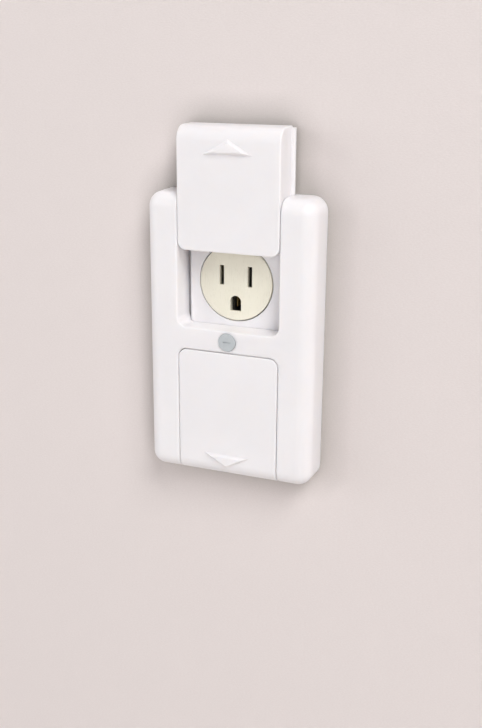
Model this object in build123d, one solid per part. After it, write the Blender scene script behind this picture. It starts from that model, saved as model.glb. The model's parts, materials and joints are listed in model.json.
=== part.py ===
"""Child-safe sliding outlet cover over a duplex receptacle.

Frame of reference: X to the right, Z up, the wall is the plane Y = 0, and the front faces -Y.
The origin is the point of the wall on the axis of the centre screw.
A "height" below is a distance in front of the wall, so a point at height h has Y = -h,
and a negative height is inside the wall box.
"""

from build123d import *
import os

# ---- Driving dimensions, millimetres ------------------------------------------------------------
# Plate as a whole
PLATE_W = 75.2
PLATE_H = 122.8
PLATE_T = 16.0
PLATE_CORNER = 6.5
PLATE_DRAFT = 1.6  # degrees
FRONT_ROUND = 6.0
SHELL = 2.0
GAP = 0.3  # running gap between bodies that move past each other

# Bays that the covers slide in
BAY_HALF = 22.8
BAY_CORNER = 3.9
BAR_HALF = 4.8
BASE_T = 2.0
LIP_T = BASE_T
RIM_ROUND = 0.7

# Sliding covers
COVER_HALF = BAY_HALF - GAP
COVER_BACK = BASE_T + 0.4
FLANGE_OUT = 24.2  # a flange along each side of a cover runs under the wall of its bay
FLANGE_HIGH = COVER_BACK + 1.0
FLANGE_END = 0.8  # the flange stops short of the outer end of the cover by this much
WALL_FOOT = FLANGE_HIGH + GAP
COVER_WALL = 1.3
COVER_SKIN = 2.0
COVER_END = 2.2
COVER_CORNER = 3.7
COVER_ROUND = 0.6
LOWER_COVER_LEN = PLATE_H / 2 - BAR_HALF - GAP
UPPER_COVER_LEN = 51.0
TRAVEL = 32.7
LUG_IN = 20.1  # the lugs of a cover point inward, into slots in the sides of an island
LUG_START = 4.2  # from the inner end of the cover
LUG_LEN = 8.0
LUG_HIGH = 3.9
GRIP_W = 21.5
GRIP_H = 6.2
GRIP_RISE = 1.3
GRIP_SLOPE = 38.0  # degrees, of the sides of the raised arrow
GRIP_ROOT = 0.8  # how far the raised arrow reaches into the cover
UPPER_GRIP_END = 5.3  # from the end of a cover to the tip of its arrow
LOWER_GRIP_END = 4.3

# Base plate and its two raised islands
BASE_FIT = 0.25
ISLAND_HALF = 20.85
ISLAND_LOW = 4.1
ISLAND_HIGH = 53.6
ISLAND_T = 6.1
ISLAND_SKIN = 1.8
ISLAND_CORNER = 2.0
ISLAND_NECK = 1.6  # wall of an island on the side of the bar
SLOT_HIGH = LUG_HIGH + GAP
SLOT_START = BAR_HALF + LUG_START
SLOT_END = BAR_HALF + GAP + LUG_START + LUG_LEN + TRAVEL + GAP
BRIDGE_T = 4.0
BRIDGE_HALF = ISLAND_LOW + 1.2
BOSS_HALF_X, BOSS_HALF_Z = 5.4, 3.9  # block inside the bar, round the centre screw
PLATE_SCREW_X = 30.6
PLATE_SCREW_Z = 47.0
PLATE_BOSS_R = 2.6
PLATE_HEAD_R, PLATE_HEAD_T = 2.4, 1.15
PLATE_SHANK_R = 1.1
PLATE_SCREW_END = 10.5

# Springs: one holds the upper cover raised and the other holds the lower cover shut
SPRING_T = 0.35
SPRING_PEAK_X = FLANGE_OUT + 0.4
SPRING_END_X = 26.0
SPRING_HALF = 7.6
SPRING_FLAT = 1.2
SPRING_BEND = 0.8
POST_R = 1.0
POST_X = SPRING_END_X + SPRING_T / 2 + POST_R + 0.05
POST_Z = 6.6
POST_TOP = SLOT_HIGH + 0.4
SPRING_PLACES = ((1, 49.0), (-1, -16.5))  # side, and height of the middle

# Receptacle
FACE_Z = 23.7  # height of each round face above or below the centre screw
FACE_R = 16.3
FACE_HOLE_R = 16.75
FACE_T = ISLAND_T + 0.4
FACE_ROUND = 0.45
FACE_SKIN = 1.2
POCKET_GROW = 1.1  # how much wider the face is hollowed behind each opening
FACE_CUT_Z = 37.6  # beyond this the back of a face is cut away, clear of the end of its island
WEB_HALF_X, WEB_HALF_Z = 8.0, 12.0
BLADE_X = 6.35
BLADE_Z = 2.9
BLADE_W = 2.0
NEUTRAL_LEN = 8.4
HOT_LEN = 8.7
GROUND_R = 2.475
GROUND_TOP = -8.1
GROUND_FLAT = -12.2
STRAP_T = 1.3
STRAP_HALF = 53.2
STRAP_HALF_W = 8.0
YOKE_HALF_W, YOKE_HALF_H = 10.6, 39.0
YOKE_OPEN_HALF_W = 8.6
YOKE_OPEN_LOW, YOKE_OPEN_HIGH = 9.2, 36.4
STRAP_SCREW_Z = 83.34 / 2
BODY_HALF_W = 16.5
BODY_HALF_H = 38.0
BODY_DEPTH = 22.0
CAVITY_DEPTH = 12.0
CONTACT_T = 0.6
CONTACT_REACH = 11.0  # depth of the contacts behind the strap
LEAF_GAP = 0.75  # half the space between the two leaves that grip a blade
BUS_X = 10.4
TAB_END_X = 12.8
GROUND_PIN_R = 2.3
GROUND_CAVITY_HALF = 3.3
GROUND_LEAF_HALF = 2.2
GROUND_TAB_Z = 5.6
RIVET_R, RIVET_HEAD_R = 1.0, 1.5

# Screws
THREAD_R = 1.75  # 6-32 machine screw
TERMINAL_Z = 10.0
TERMINAL_DEPTH = 8.45
TERMINAL_HEAD_R = 3.5
CLAMP_SIZE = 9.0
BODY_SCREW_X = 12.7
BODY_SCREW_Z = 29.0
BODY_SHANK_R = 1.1
BODY_HEAD_R, BODY_HEAD_T = 2.3, 1.25
BODY_SCREW_END = 4.0
GROUND_SCREW_X, GROUND_SCREW_Z = -11.6, -44.0
STRAP_SCREW_TIP = -19.0
WASHER_R = 2.15
HEAD_T = 2.2
DRIVER_SLOT_W, DRIVER_SLOT_T = 0.9, 0.8

# Cap over the centre screw
CAP_R = 3.85
CAP_POCKET_R = 3.95
CAP_POCKET_FLOOR = 10.0
CAP_BACK = 13.2
CAP_PROUD = 0.35

SIDES = (-1, 1)


# ---- Helpers ------------------------------------------------------------------------------------
def slab(outline, low, high, taper=0.0):
    """A face-on outline, X across and Z up, made solid between two heights."""
    return extrude(Plane.XZ.offset(low) * outline, amount=high - low, taper=taper)


def block(x0, x1, z0, z1, low, high):
    """A plain rectangular solid."""
    centre = Pos((x0 + x1) / 2, (z0 + z1) / 2)
    return slab(centre * Rectangle(abs(x1 - x0), abs(z1 - z0)), low, high)


def peg(x, z, radius, low, high):
    """A round solid that stands straight out from the wall."""
    return slab(Pos(x, z) * Circle(radius), low, high)


def save(name, shape):
    """Write one node, its solids kept separate."""
    shape.label = name
    export_step(shape, f"parts/{name}.step")


def plate_block():
    """The outer form of the whole plate: drafted sides and a rounded front edge."""
    outline = RectangleRounded(PLATE_W, PLATE_H, PLATE_CORNER)
    body = slab(outline, 0, PLATE_T, taper=PLATE_DRAFT)
    return fillet(body.edges().group_by(Axis.Y)[0], FRONT_ROUND)


def bay_outline(side, grow=0.0):
    """The U-shaped bay of one cover, open past the end of the plate."""
    near, far = BAR_HALF - grow, PLATE_H / 2 + 10
    centre = Pos(0, side * (near + far) / 2)
    return centre * RectangleRounded(2 * (BAY_HALF + grow), far - near, BAY_CORNER + grow)


def plate_screw_peg(hand, side, radius, low, high):
    """A round solid on the axis of one of the four plate screws."""
    return peg(hand * PLATE_SCREW_X, side * PLATE_SCREW_Z, radius, low, high)


def island_outline(side):
    """The outline of one raised island of the base plate."""
    middle = Pos(0, side * (ISLAND_LOW + ISLAND_HIGH) / 2)
    return middle * RectangleRounded(2 * ISLAND_HALF, ISLAND_HIGH - ISLAND_LOW, ISLAND_CORNER)


# ---- Front frame --------------------------------------------------------------------------------
def front_frame():
    """The H-shaped front shell: two arms, a middle bar and a low lip at each end."""
    inner = RectangleRounded(PLATE_W - 2 * SHELL, PLATE_H - 2 * SHELL, PLATE_CORNER - SHELL)
    outer = plate_block()
    skin_back = PLATE_T - SHELL
    hollow = slab(inner, 0, skin_back, taper=PLATE_DRAFT)
    frame = outer - fillet(hollow.edges().group_by(Axis.Y)[0], FRONT_ROUND - SHELL)
    over_island = ISLAND_HALF + GAP
    for side in SIDES:
        opening = bay_outline(side)
        wall = bay_outline(side, grow=SHELL) - opening
        frame += outer & slab(wall, WALL_FOOT, skin_back)
        frame -= block(-over_island, over_island, 0, side * (BAR_HALF + BAY_CORNER), 0, ISLAND_T + GAP)
        for hand in SIDES:
            frame += plate_screw_peg(hand, side, PLATE_BOSS_R, BASE_T + 0.1, skin_back)
            frame -= block(hand * (BAY_HALF - 1), hand * (FLANGE_OUT + GAP),
                           side * (PLATE_H / 2 - 2 * SHELL), side * PLATE_H, LIP_T, WALL_FOOT)
        frame -= slab(opening, LIP_T, PLATE_T + 1)
    rims = [e for e in frame.edges().group_by(Axis.Y)[0] if abs(e.center().X) < BAY_HALF + 0.1]
    frame = fillet(rims, RIM_ROUND)
    frame += block(-BOSS_HALF_X, BOSS_HALF_X, -BOSS_HALF_Z, BOSS_HALF_Z, BRIDGE_T + 0.1, skin_back)
    frame -= peg(0, 0, THREAD_R + 0.15, 0, PLATE_T)
    frame -= peg(0, 0, CAP_POCKET_R, CAP_POCKET_FLOOR, PLATE_T + 1)
    for side in SIDES:
        for hand in SIDES:
            frame -= plate_screw_peg(hand, side, PLATE_SHANK_R + 0.05, 0, PLATE_SCREW_END + 1.5)
    return frame


# ---- Sliding covers -----------------------------------------------------------------------------
def grip(side, apex_z):
    """A raised arrow with sloping sides, which points the way the cover opens."""
    base_z = apex_z - side * GRIP_H
    corners = [(-GRIP_W / 2, base_z), (GRIP_W / 2, base_z), (0, apex_z)]
    arrow = make_face(Polyline(*corners, close=True))
    foot = slab(arrow, PLATE_T - GRIP_ROOT, PLATE_T)
    return foot + slab(arrow, PLATE_T, PLATE_T + GRIP_RISE, taper=GRIP_SLOPE)


def cover(side, length, grip_end):
    """One cover, shut: a box open at the back that fills its bay. side is +1 above the bar, -1 below."""
    inner = BAR_HALF + GAP
    end = inner + length
    far = end + 10
    centre = Pos(0, side * (inner + far) / 2)
    outline = centre * RectangleRounded(2 * COVER_HALF, far - inner, COVER_CORNER)
    form = Pos(0, 0, side * (end - PLATE_H / 2)) * plate_block()
    body = form & slab(outline, COVER_BACK, PLATE_T + 1)
    front = body.faces().sort_by(Axis.Y)[0]
    body = fillet(front.edges().sort_by(Axis.Z)[:: side][:-1], COVER_ROUND)
    hollow_half = COVER_HALF - COVER_WALL
    hollow = block(-hollow_half, hollow_half, side * (inner + COVER_WALL), side * (end - COVER_END),
                   0, PLATE_T - COVER_SKIN)
    far_edge = hollow.edges().filter_by(Axis.X).group_by(Axis.Y)[0].sort_by(Axis.Z)[:: side][-1]
    body -= fillet(far_edge, FRONT_ROUND - COVER_SKIN)
    body -= block(-hollow_half, hollow_half, 0, side * (inner + 2 * COVER_WALL), 0, FACE_T + GAP)
    lug = inner + LUG_START
    for hand in SIDES:
        body += block(hand * LUG_IN, hand * (COVER_HALF - 0.4), side * lug, side * (lug + LUG_LEN),
                      COVER_BACK, LUG_HIGH)
        body += block(hand * (COVER_HALF - 0.4), hand * FLANGE_OUT, side * lug, side * (end - FLANGE_END),
                      COVER_BACK, FLANGE_HIGH)
    return body + grip(side, side * (end - grip_end))


# ---- Base plate ---------------------------------------------------------------------------------
def base_plate():
    """The plate against the wall, with a raised island round each face of the receptacle."""
    width = PLATE_W - 2 * SHELL - 2 * BASE_FIT
    height = PLATE_H - 2 * SHELL - 2 * BASE_FIT
    base = slab(RectangleRounded(width, height, PLATE_CORNER - SHELL), 0, BASE_T)
    base += block(-ISLAND_HALF, ISLAND_HALF, -BRIDGE_HALF, BRIDGE_HALF, 0, BRIDGE_T)
    inside = ISLAND_HALF - SHELL
    neck = ISLAND_LOW + ISLAND_NECK
    for side in SIDES:
        base += slab(island_outline(side), 0, ISLAND_T)
        base -= block(-inside, inside, side * neck, side * (ISLAND_HIGH - SHELL), 0, ISLAND_T - ISLAND_SKIN)
        base -= peg(0, side * FACE_Z, FACE_HOLE_R, 0, PLATE_T)
        for hand in SIDES:
            base -= block(hand * (LUG_IN - GAP), hand * ISLAND_HALF, side * SLOT_START, side * SLOT_END,
                          BASE_T, SLOT_HIGH)
            base -= plate_screw_peg(hand, side, PLATE_SHANK_R + 0.3, 0, PLATE_T)
            base -= plate_screw_peg(hand, side, PLATE_HEAD_R + 0.2, 0, PLATE_HEAD_T + 0.15)
    base -= block(-inside, inside, -neck - 0.4, neck + 0.4, 0, BASE_T)
    strap_room = STRAP_HALF + 0.4
    base -= block(-STRAP_HALF_W - GAP, STRAP_HALF_W + GAP, -strap_room, strap_room, 0, STRAP_T + GAP)
    base -= peg(0, 0, THREAD_R + 0.15, 0, PLATE_T)
    for hand, z in SPRING_PLACES:
        for end in SIDES:
            base += peg(hand * POST_X, z + end * POST_Z, POST_R, BASE_T - 0.5, POST_TOP)
    return base


def cover_spring(hand, z):
    """A bowed leaf that rubs on the flange of a cover, held between two posts of the base plate."""
    foot = POST_Z - SPRING_FLAT
    half = [(SPRING_PEAK_X, SPRING_FLAT), (SPRING_END_X, foot), (SPRING_END_X, SPRING_HALF)]
    points = [(x, -dz) for x, dz in reversed(half)] + half
    bow = FilletPolyline(*[(hand * x, z + dz) for x, dz in points], radius=SPRING_BEND)
    return slab(trace(bow, SPRING_T), COVER_BACK, FLANGE_HIGH)


# ---- Screws, cap and washers --------------------------------------------------------------------
def screw(x, z, head_r, head_low, head_high, shank_r, tip, slot_turn=0):
    """A slotted round-head screw that points into the wall."""
    head = peg(x, z, head_r, head_low, head_high)
    head = fillet(head.edges().group_by(Axis.Y)[0], (head_high - head_low) * 0.45)
    line = Pos(x, z) * Rot(0, 0, slot_turn) * Rectangle(2 * head_r + 1, DRIVER_SLOT_W)
    head -= slab(line, head_high - DRIVER_SLOT_T, head_high + 1)
    return head + peg(x, z, shank_r, tip, head_low + 0.1)


def cross_recess(x, z, low, high):
    """The cross-shaped driver recess of a small screw."""
    arms = Rectangle(2.6, 0.6) + Rectangle(0.6, 2.6)
    return slab(Pos(x, z) * arms, low, high)


def small_screw(x, z, head_r, head_back, head_t, shank_end, shank_r):
    """A small screw driven from behind, with a flat head and a cross recess."""
    head = peg(x, z, head_r, head_back, head_back + head_t)
    shank = peg(x, z, shank_r, head_back + head_t - 0.05, shank_end)
    return head + shank - cross_recess(x, z, head_back - 1, head_back + 0.65)


def centre_screw():
    """The 6-32 screw that holds the whole plate to the receptacle, hidden by the cap."""
    low = CAP_POCKET_FLOOR + 0.05
    return screw(0, 0, 3.3, low, low + HEAD_T, THREAD_R, -6.0, slot_turn=35)


def screw_cap():
    """The round snap cap over the centre screw, slightly proud, with a short pry notch."""
    cap = peg(0, 0, CAP_R, CAP_BACK, PLATE_T + CAP_PROUD)
    cap = fillet(cap.edges().group_by(Axis.Y)[0], 0.3)
    return cap - block(-1.6, 1.6, -0.3, 0.3, PLATE_T, PLATE_T + 1)


def plate_screws():
    """Four small screws that hold the base plate to the front frame from behind."""
    places = [(hand * PLATE_SCREW_X, side * PLATE_SCREW_Z) for side in SIDES for hand in SIDES]
    return Compound([small_screw(x, z, PLATE_HEAD_R, 0.1, PLATE_HEAD_T, PLATE_SCREW_END, PLATE_SHANK_R)
                     for x, z in places])


def body_screws():
    """Four screws that clamp the face, the strap and the body together, driven from behind."""
    places = [(hand * BODY_SCREW_X, side * BODY_SCREW_Z) for side in SIDES for hand in SIDES]
    back = -BODY_DEPTH + 0.1
    return Compound([small_screw(x, z, BODY_HEAD_R, back, BODY_HEAD_T, BODY_SCREW_END, BODY_SHANK_R)
                     for x, z in places])


def ground_screw():
    """The green screw for the ground wire, on a tab of the strap."""
    low = STRAP_T + 0.02
    return screw(GROUND_SCREW_X, GROUND_SCREW_Z, 3.2, low, STRAP_T + HEAD_T, THREAD_R, -6.0)


def strap_screws():
    """The two 6-32 screws that fasten the strap to the wall box."""
    screws = []
    neck_end = 0.1
    for side in SIDES:
        z = side * STRAP_SCREW_Z
        upper = screw(0, z, 3.4, STRAP_T + 0.02, STRAP_T + HEAD_T, THREAD_R - 0.05, neck_end,
                      slot_turn=20 + 50 * side)
        screws.append(upper + peg(0, z, THREAD_R, STRAP_SCREW_TIP, neck_end))
    return Compound(screws)


def screw_retainers():
    """The small fibre washers that keep the strap screws captive."""
    washers = []
    for side in SIDES:
        z = side * STRAP_SCREW_Z
        washers.append(peg(0, z, WASHER_R, -0.9, -0.05) - peg(0, z, THREAD_R, -2, 1))
    return Compound(washers)


# ---- Receptacle ---------------------------------------------------------------------------------
def face_openings(z, grow=0.0):
    """The two blade slots and the ground hole of one face, ground hole down."""
    neutral = Pos(-BLADE_X, z + BLADE_Z) * Rectangle(BLADE_W + 2 * grow, NEUTRAL_LEN + 2 * grow)
    hot = Pos(BLADE_X, z + BLADE_Z) * Rectangle(BLADE_W + 2 * grow, HOT_LEN + 2 * grow)
    ground = Pos(0, z + GROUND_TOP) * Circle(GROUND_R + grow)
    low = GROUND_FLAT - grow
    ground += Pos(0, z + (GROUND_TOP + low) / 2) * Rectangle(2 * (GROUND_R + grow), GROUND_TOP - low)
    return neutral + hot + ground


def receptacle_face():
    """The front moulding with both round faces, joined by a thin web under the base plate's bridge."""
    back = STRAP_T + 0.05
    face = block(-WEB_HALF_X, WEB_HALF_X, -WEB_HALF_Z, WEB_HALF_Z, back, BASE_T - 0.1)
    for side in SIDES:
        disc = peg(0, side * FACE_Z, FACE_R, back, FACE_T)
        disc = fillet(disc.edges().group_by(Axis.Y)[0], FACE_ROUND)
        disc -= block(-FACE_R, FACE_R, side * FACE_CUT_Z, side * (FACE_Z + FACE_R + 1),
                      0, ISLAND_T - ISLAND_SKIN)
        face += disc
    for side in SIDES:
        face -= slab(face_openings(side * FACE_Z), 0, FACE_T + 1)
        face -= slab(face_openings(side * FACE_Z, POCKET_GROW), 0, FACE_T - FACE_SKIN)
        for hand in SIDES:
            face -= peg(hand * BODY_SCREW_X, side * BODY_SCREW_Z, BODY_SHANK_R + 0.05,
                        0, BODY_SCREW_END + 0.4)
    face -= peg(0, GROUND_TAB_Z, RIVET_HEAD_R + 0.3, 0, BASE_T)
    return face - peg(0, 0, THREAD_R + 0.1, 0, FACE_T)


def mounting_strap():
    """The steel strap that carries the receptacle, with its ears and a tab for the ground screw."""
    strap = slab(RectangleRounded(2 * STRAP_HALF_W, 2 * STRAP_HALF, 3), 0, STRAP_T)
    strap += block(-YOKE_HALF_W, YOKE_HALF_W, -YOKE_HALF_H, YOKE_HALF_H, 0, STRAP_T)
    tab = Pos(GROUND_SCREW_X + 2.1, GROUND_SCREW_Z) * RectangleRounded(12, 9, 1.5)
    strap += slab(tab, 0, STRAP_T)
    through = -1, STRAP_T + 1
    hole = THREAD_R + 0.05
    for side in SIDES:
        strap -= block(-YOKE_OPEN_HALF_W, YOKE_OPEN_HALF_W, side * YOKE_OPEN_LOW, side * YOKE_OPEN_HIGH,
                       *through)
        strap -= peg(0, side * STRAP_SCREW_Z, hole, *through)
    strap -= peg(GROUND_SCREW_X, GROUND_SCREW_Z, hole, *through)
    strap -= peg(0, GROUND_TAB_Z, RIVET_R + 0.05, *through)
    return strap - peg(0, 0, hole, *through)


def receptacle_body():
    """The rear moulding, with a cavity for each contact and a recess for each terminal."""
    outline = RectangleRounded(2 * BODY_HALF_W, 2 * BODY_HALF_H, 2)
    body = slab(outline, -BODY_DEPTH, -0.05)
    body = fillet(body.edges().group_by(Axis.Y)[-1], 1.2)
    body -= block(-GROUND_CAVITY_HALF, GROUND_CAVITY_HALF, -36.5, 19, -CAVITY_DEPTH, 0)
    for hand in SIDES:
        body -= block(hand * 4.6, hand * (BUS_X + 0.5), -26, 32, -CAVITY_DEPTH, 0)
        for side in SIDES:
            body -= terminal_recess(hand, side * TERMINAL_Z)
            x, z = hand * BODY_SCREW_X, side * BODY_SCREW_Z
            body -= peg(x, z, BODY_SHANK_R + 0.2, -BODY_DEPTH - 1, 0)
            body -= peg(x, z, BODY_HEAD_R + 0.2, -BODY_DEPTH - 1, -BODY_DEPTH + BODY_HEAD_T + 0.15)
    return body - peg(0, 0, THREAD_R + 0.2, -9, 0)


def terminal_recess(hand, z):
    """The open pocket of one terminal in the side of the body, and the window to its contact."""
    pocket = block(hand * 12.6, hand * (BODY_HALF_W + 0.5), z - 5.5, z + 5.5, -15.5, -2.5)
    return pocket + block(hand * 10, hand * 13, z - 3.9, z + 3.9, -12.3, -4.6)


def blade_contact(hand, length):
    """The brass strip of one side: a bus, a sprung pair of leaves per blade and two terminal tabs."""
    foot = -CONTACT_REACH + CONTACT_T
    strip = block(hand * (BUS_X - CONTACT_T), hand * BUS_X, -25, 31, -CONTACT_REACH, -3)
    for side in SIDES:
        z = side * FACE_Z + BLADE_Z
        low, high = z - length / 2, z + length / 2
        for lean in SIDES:
            near = hand * BLADE_X + lean * LEAF_GAP
            strip += block(near, near + lean * CONTACT_T, low, high, -CONTACT_REACH, -2)
        inner = hand * (BLADE_X - LEAF_GAP - CONTACT_T)
        strip += block(inner, hand * BUS_X, low, high, -CONTACT_REACH, foot)
        z = side * TERMINAL_Z
        strip += block(hand * (BUS_X - 0.4), hand * TAB_END_X, z - 3.7, z + 3.7, -12.1, -4.8)
        strip -= across(hand, z, Circle(THREAD_R + 0.05), 9, 14)
    return strip


def ground_contact():
    """The brass strip that grips both ground pins and is riveted to the strap."""
    foot = -CONTACT_REACH + CONTACT_T
    leaf_x = GROUND_PIN_R + CONTACT_T
    strip = block(-1.5, 1.5, -35, 18, -CONTACT_REACH, foot)
    for side in SIDES:
        z = side * FACE_Z + (GROUND_TOP + GROUND_FLAT) / 2
        low, high = z - GROUND_LEAF_HALF, z + GROUND_LEAF_HALF
        strip += block(-leaf_x, leaf_x, low, high, -CONTACT_REACH, foot)
        for lean in SIDES:
            strip += block(lean * GROUND_PIN_R, lean * leaf_x, low, high, -CONTACT_REACH, -2)
    riser = GROUND_TAB_Z - 2.6
    strip += block(-1.5, 1.5, riser, riser + CONTACT_T, -CONTACT_REACH, -0.05)
    strip += block(-1.5, 1.5, riser, GROUND_TAB_Z + 1.8, -0.05 - CONTACT_T, -0.05)
    return strip - peg(0, GROUND_TAB_Z, RIVET_R + 0.05, -1, 1)


def ground_rivet():
    """The rivet between the ground strip and the strap."""
    front = STRAP_T + 0.02
    back = -CONTACT_T - 0.1
    return (peg(0, GROUND_TAB_Z, RIVET_R, back, front)
            + peg(0, GROUND_TAB_Z, RIVET_HEAD_R, back - CONTACT_T, back)
            + peg(0, GROUND_TAB_Z, RIVET_HEAD_R, front, front + 0.32))


def across(hand, z, outline, x0, x1):
    """A solid that runs out to one side of the body, at the depth of the terminals."""
    return extrude(Plane.YZ.offset(hand * x0) * Pos(TERMINAL_DEPTH, z) * outline, amount=hand * (x1 - x0))


def terminal_screws(hand):
    """The pair of binding screws on one side, heads outward."""
    screws = []
    for side in SIDES:
        z = side * TERMINAL_Z
        head = across(hand, z, Circle(TERMINAL_HEAD_R), 14.1, 16.1)
        head = fillet(head.edges().sort_by(Axis.X)[:: hand][-1:], 0.7)
        shank = across(hand, z, Circle(THREAD_R), 10.7, 14.2)
        screws.append(head + shank - across(hand, z, Rectangle(1.0, 8), 15.4, 17.4))
    return Compound(screws)


def pressure_plates(hand):
    """The square clamp plates under the binding screws of one side."""
    plates = []
    for side in SIDES:
        z = side * TERMINAL_Z
        plate = across(hand, z, Rectangle(CLAMP_SIZE, CLAMP_SIZE), 12.95, 14.0)
        plates.append(plate - across(hand, z, Circle(THREAD_R + 0.15), 12, 16))
    return Compound(plates)


# ---- Write every node ---------------------------------------------------------------------------
os.makedirs("parts", exist_ok=True)
NODES = {
    "front_frame": front_frame(),
    "base_plate": base_plate(),
    "upper_cover": Pos(0, 0, TRAVEL) * cover(1, UPPER_COVER_LEN, UPPER_GRIP_END),
    "lower_cover": cover(-1, LOWER_COVER_LEN, LOWER_GRIP_END),
    "upper_cover_spring": cover_spring(*SPRING_PLACES[0]),
    "lower_cover_spring": cover_spring(*SPRING_PLACES[1]),
    "centre_screw": centre_screw(),
    "screw_cap": screw_cap(),
    "plate_screws": plate_screws(),
    "receptacle_face": receptacle_face(),
    "receptacle_body": receptacle_body(),
    "mounting_strap": mounting_strap(),
    "neutral_contact": blade_contact(-1, NEUTRAL_LEN - 1.4),
    "hot_contact": blade_contact(1, HOT_LEN - 1.4),
    "ground_contact": ground_contact(),
    "ground_rivet": ground_rivet(),
    "neutral_terminal_screws": terminal_screws(-1),
    "hot_terminal_screws": terminal_screws(1),
    "neutral_pressure_plates": pressure_plates(-1),
    "hot_pressure_plates": pressure_plates(1),
    "ground_screw": ground_screw(),
    "body_screws": body_screws(),
    "strap_screws": strap_screws(),
    "screw_retainers": screw_retainers(),
}
for node_name, node_shape in NODES.items():
    save(node_name, node_shape)
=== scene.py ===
"""Looks of the sliding child-safe outlet cover: camera, materials, stage and light.

Everything is in metres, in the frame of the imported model: X right, Z up, and the wall is the
plane Y = 0 with the room on its -Y side.
"""

import json
import math

import bpy
from mathutils import Matrix, Vector


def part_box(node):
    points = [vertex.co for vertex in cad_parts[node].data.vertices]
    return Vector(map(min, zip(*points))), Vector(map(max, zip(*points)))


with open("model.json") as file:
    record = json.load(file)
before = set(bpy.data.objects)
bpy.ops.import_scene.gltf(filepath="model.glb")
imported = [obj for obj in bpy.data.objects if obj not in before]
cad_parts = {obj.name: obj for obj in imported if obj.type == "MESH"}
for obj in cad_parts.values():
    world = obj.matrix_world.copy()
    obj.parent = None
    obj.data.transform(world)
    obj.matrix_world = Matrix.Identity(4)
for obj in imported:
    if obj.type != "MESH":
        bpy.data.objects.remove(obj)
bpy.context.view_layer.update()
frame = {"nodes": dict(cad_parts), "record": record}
nodes = frame["nodes"]
MM = 0.001

# The view, measured from straight in front of the plate
VIEW_AZIMUTH, VIEW_ELEVATION, VIEW_ROLL = 21.87, 17.33, 0.365      # degrees
VIEW_LENS, SENSOR_WIDTH = 49.34, 36.0                              # mm on the sensor
VIEW_PLACE = Vector((155.4, -387.1, 116.2)) * MM

# The stage: a wall around the plate and a floor below it
STAGE_HALF, WALL_TOP, FLOOR_Z = 2.5, 2.2, -0.32
OPENING_INSET = 0.2 * MM       # the wall overlaps the receptacle body by this much all round
PAINTED_SHADOW_REACH = 14 * MM        # how far from the plate the painted contact shadow on the wall starts

LIGHT_TARGET = (0, 0, 0.01)
WHITE_TINT = (0.92, 0.895, 0.91)


# ---- Camera -------------------------------------------------------------------------------------
def make_camera():
    """A long lens from the right and a little above, level apart from a slight roll."""
    azimuth, elevation, roll = map(math.radians, (VIEW_AZIMUTH, VIEW_ELEVATION, VIEW_ROLL))
    back = Vector((math.sin(azimuth) * math.cos(elevation),
                   -math.cos(azimuth) * math.cos(elevation),
                   math.sin(elevation)))
    right = (-back).cross(Vector((0, 0, 1))).normalized()
    up = right.cross(-back)
    side = right * math.cos(roll) + up * math.sin(roll)
    top = up * math.cos(roll) - right * math.sin(roll)
    data = bpy.data.cameras.new("view")
    data.lens = VIEW_LENS
    data.sensor_width = SENSOR_WIDTH
    data.clip_start = 0.01
    camera = bpy.data.objects.new("view", data)
    bpy.context.scene.collection.objects.link(camera)
    rotation = Matrix((side, top, back)).transposed().to_4x4()
    camera.matrix_world = Matrix.Translation(VIEW_PLACE) @ rotation
    bpy.context.scene.camera = camera


make_camera()


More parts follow.
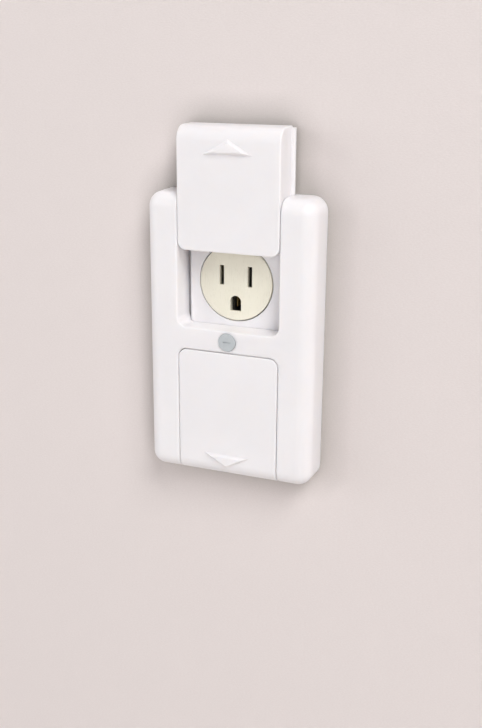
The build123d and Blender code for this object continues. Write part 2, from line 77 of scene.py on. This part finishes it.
# ---- Material building blocks -------------------------------------------------------------------
class Shade:
    """A node material under construction, with short names for the nodes it uses most."""

    def __init__(self, name, color, roughness, **sockets):
        self.material = bpy.data.materials.new(name)
        self.material.use_nodes = True
        self.tree = self.material.node_tree
        self.surface = self.tree.nodes["Principled BSDF"]
        self.surface.inputs["Base Color"].default_value = (*color, 1)
        self.surface.inputs["Roughness"].default_value = roughness
        for socket, value in sockets.items():
            self.surface.inputs[socket.replace("_", " ")].default_value = value
        self.place = self.node("ShaderNodeTexCoord").outputs["Object"]
        self.normal = None

    def node(self, kind, **settings):
        made = self.tree.nodes.new(kind)
        for key, value in settings.items():
            setattr(made, key, value)
        return made

    def link(self, source, target):
        self.tree.links.new(source, target)

    def stretch(self, scale):
        """Object coordinates scaled per axis, for grain that runs one way."""
        mapping = self.node("ShaderNodeMapping")
        mapping.inputs["Scale"].default_value = scale
        self.link(self.place, mapping.inputs["Vector"])
        return mapping.outputs["Vector"]

    def noise(self, scale, detail=3.0, rough=0.55, place=None, distortion=0.0):
        made = self.node("ShaderNodeTexNoise")
        made.inputs["Scale"].default_value = scale
        made.inputs["Detail"].default_value = detail
        made.inputs["Roughness"].default_value = rough
        made.inputs["Distortion"].default_value = distortion
        self.link(place or self.place, made.inputs["Vector"])
        return made.outputs["Fac"]

    def cells(self, scale):
        made = self.node("ShaderNodeTexVoronoi")
        made.inputs["Scale"].default_value = scale
        self.link(self.place, made.inputs["Vector"])
        return made

    def remap(self, value, low, high, to_low, to_high):
        made = self.node("ShaderNodeMapRange")
        ends = {"From Min": low, "From Max": high, "To Min": to_low, "To Max": to_high}
        for socket, number in ends.items():
            made.inputs[socket].default_value = number
        self.link(value, made.inputs["Value"])
        return made.outputs["Result"]

    def math(self, operation, a, b=0.0):
        made = self.node("ShaderNodeMath", operation=operation)
        for socket, value in zip(made.inputs, (a, b)):
            if isinstance(value, (int, float)):
                socket.default_value = value
            else:
                self.link(value, socket)
        return made.outputs["Value"]

    def blend(self, amount, a, b):
        """Mixes two colours, each a tuple or a socket, on the Mix node's colour sockets."""
        made = self.node("ShaderNodeMix", data_type="RGBA")
        self.link(amount, made.inputs["Factor"])
        first, second, result = made.inputs[6], made.inputs[7], made.outputs[2]
        for socket, value in ((first, a), (second, b)):
            if isinstance(value, tuple):
                socket.default_value = (*value, 1)
            else:
                self.link(value, socket)
        return result

    def color(self, value):
        self.link(value, self.surface.inputs["Base Color"])

    def roughness(self, value):
        self.link(value, self.surface.inputs["Roughness"])

    def bump(self, height, strength, distance):
        """Adds one layer of relief, height times distance in metres, over the layers before it."""
        made = self.node("ShaderNodeBump")
        made.inputs["Strength"].default_value = strength
        made.inputs["Distance"].default_value = distance
        self.link(height, made.inputs["Height"])
        if self.normal:
            self.link(self.normal, made.inputs["Normal"])
        self.normal = made.outputs["Normal"]
        self.link(self.normal, self.surface.inputs["Normal"])

    def soft_edges(self, radius):
        """Rounds the look of sharp edges a little, as a mould or a tumbling barrel does."""
        made = self.node("ShaderNodeBevel", samples=4)
        made.inputs["Radius"].default_value = radius
        self.normal = made.outputs["Normal"]
        self.link(self.normal, self.surface.inputs["Normal"])


# ---- Materials ----------------------------------------------------------------------------------
def moulded_white(name, tint, seed):
    """Satin white housing plastic: fine mould grain, slight flow marks, handling sheen."""
    shade = Shade(name, tint, 0.34, Subsurface_Weight=0.6, Subsurface_Scale=2.2 * MM,
                  Subsurface_Radius=(1.0, 0.92, 0.85))
    shade.soft_edges(0.25 * MM)
    place = shade.node("ShaderNodeVectorMath", operation="ADD")
    shade.link(shade.place, place.inputs[0])
    place.inputs[1].default_value = (seed, seed * 0.37, seed * 0.61)
    shifted = place.outputs["Vector"]
    flow = shade.noise(28, 3, 0.5, shifted, distortion=0.6)
    cloud = shade.remap(flow, 0.35, 0.65, 0.0, 1.0)
    darker = tuple(c * 0.975 for c in tint)
    warmer = (tint[0] * 0.995, tint[1] * 0.985, tint[2] * 0.965)
    speck = shade.remap(shade.noise(900, 2, 0.6, shifted), 0.70, 0.80, 0.0, 0.25)
    shade.color(shade.blend(speck, shade.blend(cloud, tint, darker), warmer))
    smear = shade.noise(60, 4, 0.6, shifted, distortion=1.5)
    shade.roughness(shade.remap(smear, 0.3, 0.7, 0.34, 0.46))
    shade.bump(shade.noise(5200, 2, 0.5, shifted), 0.10, 0.05 * MM)
    shade.bump(shade.noise(45, 2, 0.4, shifted), 0.12, 0.6 * MM)
    return shade.material


def ivory_face():
    """Smooth cream thermoplastic, faintly scuffed where plug blades have missed the slots."""
    cream = (0.87, 0.84, 0.71)
    shade = Shade("ivory_plastic_look", cream, 0.30)
    shade.soft_edges(0.2 * MM)
    tone = shade.remap(shade.noise(70, 3), 0.35, 0.65, 0.0, 1.0)
    base = shade.blend(tone, cream, (0.885, 0.855, 0.73))
    streaks = shade.noise(700, 3, 0.7, shade.stretch((3.0, 1.0, 0.35)), 0.8)
    scuff = shade.remap(streaks, 0.66, 0.76, 0.0, 0.12)
    shade.color(shade.blend(scuff, base, (0.79, 0.76, 0.64)))
    shade.roughness(shade.remap(streaks, 0.4, 0.75, 0.27, 0.46))
    shade.bump(streaks, 0.06, 0.1 * MM)
    shade.bump(shade.noise(3800, 2), 0.06, 0.04 * MM)
    return shade.material


def grey_cap():
    """Grey-blue snap cap with a fine spun grain."""
    blue = (0.55, 0.585, 0.605)
    shade = Shade("grey_plastic_look", blue, 0.34)
    shade.soft_edges(0.12 * MM)
    tone = shade.remap(shade.noise(500, 4, 0.6), 0.35, 0.7, 0.0, 1.0)
    shade.color(shade.blend(tone, blue, (0.49, 0.525, 0.55)))
    rings = shade.node("ShaderNodeTexWave", wave_type="RINGS", rings_direction="Y")
    rings.inputs["Scale"].default_value = 900
    rings.inputs["Distortion"].default_value = 0.6
    shade.link(shade.place, rings.inputs["Vector"])
    shade.roughness(shade.remap(shade.noise(900, 3), 0.3, 0.7, 0.28, 0.44))
    shade.bump(rings.outputs["Fac"], 0.05, 0.04 * MM)
    return shade.material


def body_plastic():
    """Matt, glass-filled rear moulding with a mottled mould grain."""
    tan = (0.055, 0.052, 0.045)
    shade = Shade("body_plastic_look", tan, 0.55)
    shade.soft_edges(0.3 * MM)
    tone = shade.remap(shade.noise(120, 5, 0.65), 0.35, 0.65, 0.0, 1.0)
    fibres = shade.noise(2200, 2, 0.6, shade.stretch((1.0, 1.0, 0.12)))
    base = shade.blend(tone, tan, (0.040, 0.038, 0.034))
    shade.color(shade.blend(shade.remap(fibres, 0.66, 0.76, 0.0, 0.3), base, (0.11, 0.105, 0.095)))
    shade.roughness(shade.remap(fibres, 0.3, 0.7, 0.48, 0.66))
    shade.bump(shade.noise(2600, 3), 0.25, 0.08 * MM)
    return shade.material


def metal(name, color, roughness, grain=(1.0, 1.0, 1.0), stain=None):
    """Plated or stamped metal: directional grain, uneven tarnish and fine scratches."""
    shade = Shade(name, color, roughness, Metallic=1.0)
    shade.soft_edges(0.15 * MM)
    along = shade.stretch(grain)
    lines = shade.noise(2500, 3, 0.6, along)
    cloud = shade.remap(shade.noise(260, 4, 0.6, distortion=0.8), 0.38, 0.68, 0.0, 0.7)
    dull = stain or tuple(c * 0.72 for c in color)
    shade.color(shade.blend(cloud, color, dull))
    scratch_wear = shade.math("MULTIPLY", lines, 0.16)
    tarnish_wear = shade.math("MULTIPLY", cloud, 0.18)
    wear = shade.math("ADD", scratch_wear, tarnish_wear)
    shade.roughness(shade.math("ADD", wear, roughness - 0.10))
    shade.bump(lines, 0.12, 0.04 * MM)
    return shade.material


def galvanised():
    """Hot-dip zinc with a spangle of crystals and a stamped grain."""
    shade = Shade("galvanised_steel_look", (0.62, 0.64, 0.66), 0.42, Metallic=1.0)
    shade.soft_edges(0.2 * MM)
    crystals = shade.cells(420)
    spangle = shade.node("ShaderNodeSeparateColor")
    shade.link(crystals.outputs["Color"], spangle.inputs["Color"])
    shade.color(shade.blend(spangle.outputs["Red"], (0.66, 0.68, 0.70), (0.50, 0.52, 0.55)))
    shade.roughness(shade.remap(spangle.outputs["Green"], 0, 1, 0.30, 0.52))
    shade.bump(shade.noise(1500, 3), 0.15, 0.05 * MM)
    return shade.material


def fibre():
    """Pressed fibre board: short tangled fibres."""
    shade = Shade("fibre_look", (0.42, 0.26, 0.15), 0.8)
    strands = shade.noise(2400, 5, 0.7, shade.stretch((1.0, 0.4, 0.3)), 1.5)
    shade.color(shade.blend(strands, (0.30, 0.17, 0.09), (0.55, 0.37, 0.22)))
    shade.roughness(shade.remap(strands, 0.3, 0.7, 0.7, 0.9))
    shade.bump(strands, 0.5, 0.12 * MM)
    return shade.material


LOOKS = {
    "white_plastic": moulded_white("white_plastic_look", WHITE_TINT, seed=1.3),
    "cover_plastic": moulded_white("cover_plastic_look", WHITE_TINT, seed=4.7),
    "ivory_plastic": ivory_face(),
    "grey_plastic": grey_cap(),
    "body_plastic": body_plastic(),
    "spring_steel": metal("spring_steel_look", (0.62, 0.62, 0.63), 0.26, grain=(1.0, 8.0, 0.3)),
    "zinc_steel": metal("zinc_steel_look", (0.70, 0.71, 0.72), 0.30, stain=(0.52, 0.51, 0.46)),
    "galvanised_steel": galvanised(),
    "brass": metal("brass_look", (0.82, 0.61, 0.27), 0.28, grain=(3.0, 1.0, 0.3),
                   stain=(0.52, 0.34, 0.13)),
    "plated_screws": metal("plated_screws_look", (0.76, 0.74, 0.70), 0.24,
                           stain=(0.56, 0.53, 0.48)),
    "green_screw": metal("green_screw_look", (0.10, 0.42, 0.20), 0.30, stain=(0.05, 0.24, 0.12)),
    "fibre": fibre(),
}


def dress_nodes():
    """Gives every CAD node the look of its material slot."""
    for sub in frame["record"]["subparts"]:
        mesh = nodes[sub["node"]].data
        mesh.materials.clear()
        mesh.materials.append(LOOKS[sub["material_slot"]])


dress_nodes()


# ---- Stage --------------------------------------------------------------------------------------
def stage_mesh(name, points, faces, material):
    mesh = bpy.data.meshes.new(name)
    mesh.from_pydata(points, [], faces)
    mesh.materials.append(material)
    piece = bpy.data.objects.new(name, mesh)
    bpy.context.scene.collection.objects.link(piece)


def backdrop_look():
    """Pale matt wall paper with a painted contact shadow close to the plate, and clear when seen
    from behind.
    """
    shade = Shade("backdrop_look", (0.77, 0.71, 0.69), 0.85, Specular_IOR_Level=0.2)
    weave = shade.noise(900, 3, 0.6, shade.stretch((1.0, 1.0, 2.2)))
    tone = shade.remap(weave, 0.35, 0.65, 0.0, 1.0)
    paper = shade.blend(tone, (0.76, 0.695, 0.68), (0.785, 0.725, 0.71))
    # painted shade: ambient occlusion darkens the wall colour toward grey-brown near the plate,
    # standing in for its contact shadow
    painted_shadow_ao = shade.node("ShaderNodeAmbientOcclusion", samples=8)
    painted_shadow_ao.inputs["Distance"].default_value = PAINTED_SHADOW_REACH
    open_share = shade.remap(painted_shadow_ao.outputs["AO"], 0.5, 1.0, 0.0, 1.0)
    shade.color(shade.blend(open_share, (0.46, 0.43, 0.405), paper))
    shade.bump(weave, 0.25, 0.3 * MM)
    output = shade.tree.nodes["Material Output"]
    mix = shade.node("ShaderNodeMixShader")
    clear = shade.node("ShaderNodeBsdfTransparent")
    facing = shade.node("ShaderNodeNewGeometry").outputs["Backfacing"]
    shade.link(facing, mix.inputs["Fac"])
    shade.link(shade.surface.outputs["BSDF"], mix.inputs[1])
    shade.link(clear.outputs["BSDF"], mix.inputs[2])
    shade.link(mix.outputs["Shader"], output.inputs["Surface"])
    return shade.material


def floor_look():
    """Pale matt floor with a slight unevenness."""
    shade = Shade("floor_look", (0.70, 0.68, 0.66), 0.8)
    shade.bump(shade.noise(40, 3), 0.1, 1 * MM)
    return shade.material


def wall_rectangle(x0, z0, x1, z1):
    """The corners of an upright rectangle in the plane of the wall."""
    return [(x0, 0, z0), (x1, 0, z0), (x1, 0, z1), (x0, 0, z1)]


def build_stage():
    """A pale wall with an opening for the part behind it, and a pale floor well below."""
    low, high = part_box("receptacle_body")
    corners = wall_rectangle(-STAGE_HALF, FLOOR_Z, STAGE_HALF, WALL_TOP)
    opening = wall_rectangle(low[0] + OPENING_INSET, low[2] + OPENING_INSET,
                             high[0] - OPENING_INSET, high[2] - OPENING_INSET)
    sides = [(i, (i + 1) % 4, 4 + (i + 1) % 4, 4 + i) for i in range(4)]
    stage_mesh("backdrop", corners + opening, sides, backdrop_look())
    directions = ((-1, -1), (1, -1), (1, 1), (-1, 1))
    floor = [(x * STAGE_HALF, y * STAGE_HALF, FLOOR_Z) for x, y in directions]
    stage_mesh("floor", floor, [(0, 1, 2, 3)], floor_look())


build_stage()


# ---- Light --------------------------------------------------------------------------------------
def softbox(name, position, size, watts, tint=(1.0, 1.0, 1.0)):
    """A square area light at a position, aimed at the plate."""
    data = bpy.data.lights.new(name, "AREA")
    data.shape = "SQUARE"
    data.size = size
    data.energy = watts
    data.color = tint
    lamp = bpy.data.objects.new(name, data)
    bpy.context.scene.collection.objects.link(lamp)
    lamp.location = position
    aim = Vector(LIGHT_TARGET) - Vector(position)
    lamp.rotation_euler = aim.to_track_quat("-Z", "Y").to_euler()


def build_light():
    """A key from the upper right, a front fill, a left fill, two rear lights and a dim room."""
    warm, cool = (1.0, 0.99, 0.985), (0.99, 0.99, 1.0)
    softbox("key", (1.5, -1.6, 2.3), size=1.4, watts=66, tint=warm)
    softbox("front_fill", (1.5, -2.6, 0.9), size=1.6, watts=24, tint=cool)
    softbox("left_fill", (-2.6, -1.4, 0.4), size=2.0, watts=38, tint=cool)
    softbox("rear_left", (-0.9, 1.1, 0.8), size=0.8, watts=9)
    softbox("rear_right", (0.9, 0.9, 0.5), size=0.8, watts=6)
    world = bpy.data.worlds.new("room")
    world.use_nodes = True
    background = world.node_tree.nodes["Background"]
    background.inputs["Color"].default_value = (0.975, 0.965, 0.975, 1)
    background.inputs["Strength"].default_value = 0.05
    bpy.context.scene.world = world
    bpy.context.scene.view_settings.view_transform = "Standard"


build_light()
